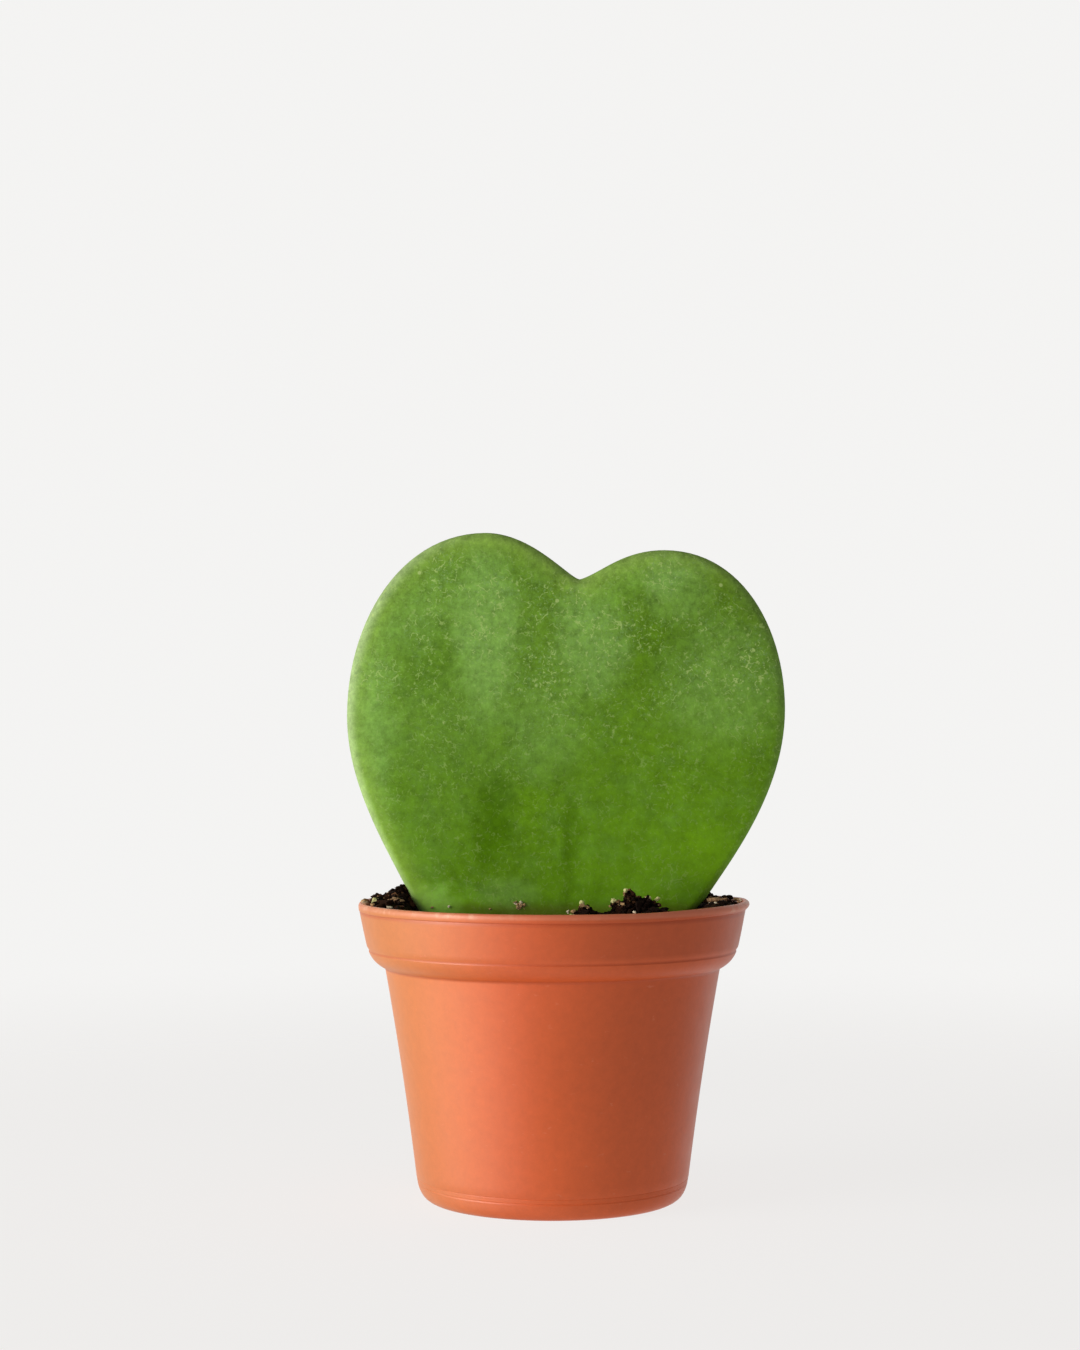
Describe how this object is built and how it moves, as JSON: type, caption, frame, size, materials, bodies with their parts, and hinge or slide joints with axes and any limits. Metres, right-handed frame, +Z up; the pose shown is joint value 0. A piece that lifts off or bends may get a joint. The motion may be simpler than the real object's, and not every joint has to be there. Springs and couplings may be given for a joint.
{
  "type": "potted heart-leaf hoya",
  "caption": "Thick heart-shaped hoya leaf rooted upright in dark potting mix, in a small terracotta-coloured plastic nursery pot with a rolled lip and stepped collar.",
  "frame": {"origin": "middle of the pot's underside, on the surface it stands on", "axes": "+Z up; the heart's face looks along -Y; +X to the right of someone who looks at that face"},
  "size_m": [0.0684, 0.06, 0.1029],
  "materials": {
    "pot_plastic": "satin",
    "peat": "matte",
    "leaf_skin": "satin",
    "root_skin": "matte",
    "pale_grain": "matte",
    "bark": "matte",
    "fibre": "matte"
  },
  "bodies": {
    "root": {"pot": "pot_plastic", "potting_mix": "peat", "leaf": "leaf_skin", "roots": "root_skin", "grain_1": "pale_grain", "grain_2": "pale_grain", "grain_3": "pale_grain", "grain_4": "pale_grain", "grain_5": "pale_grain", "grain_6": "pale_grain", "grain_7": "pale_grain", "grain_8": "pale_grain", "grain_9": "pale_grain", "grain_10": "pale_grain", "grain_11": "pale_grain", "grain_12": "pale_grain", "bark_chip_1": "bark", "bark_chip_2": "bark", "bark_chip_3": "bark", "bark_chip_4": "bark", "bark_chip_5": "bark", "fibre_1": "fibre", "fibre_2": "fibre", "fibre_3": "fibre"}
  },
  "joints": []
}
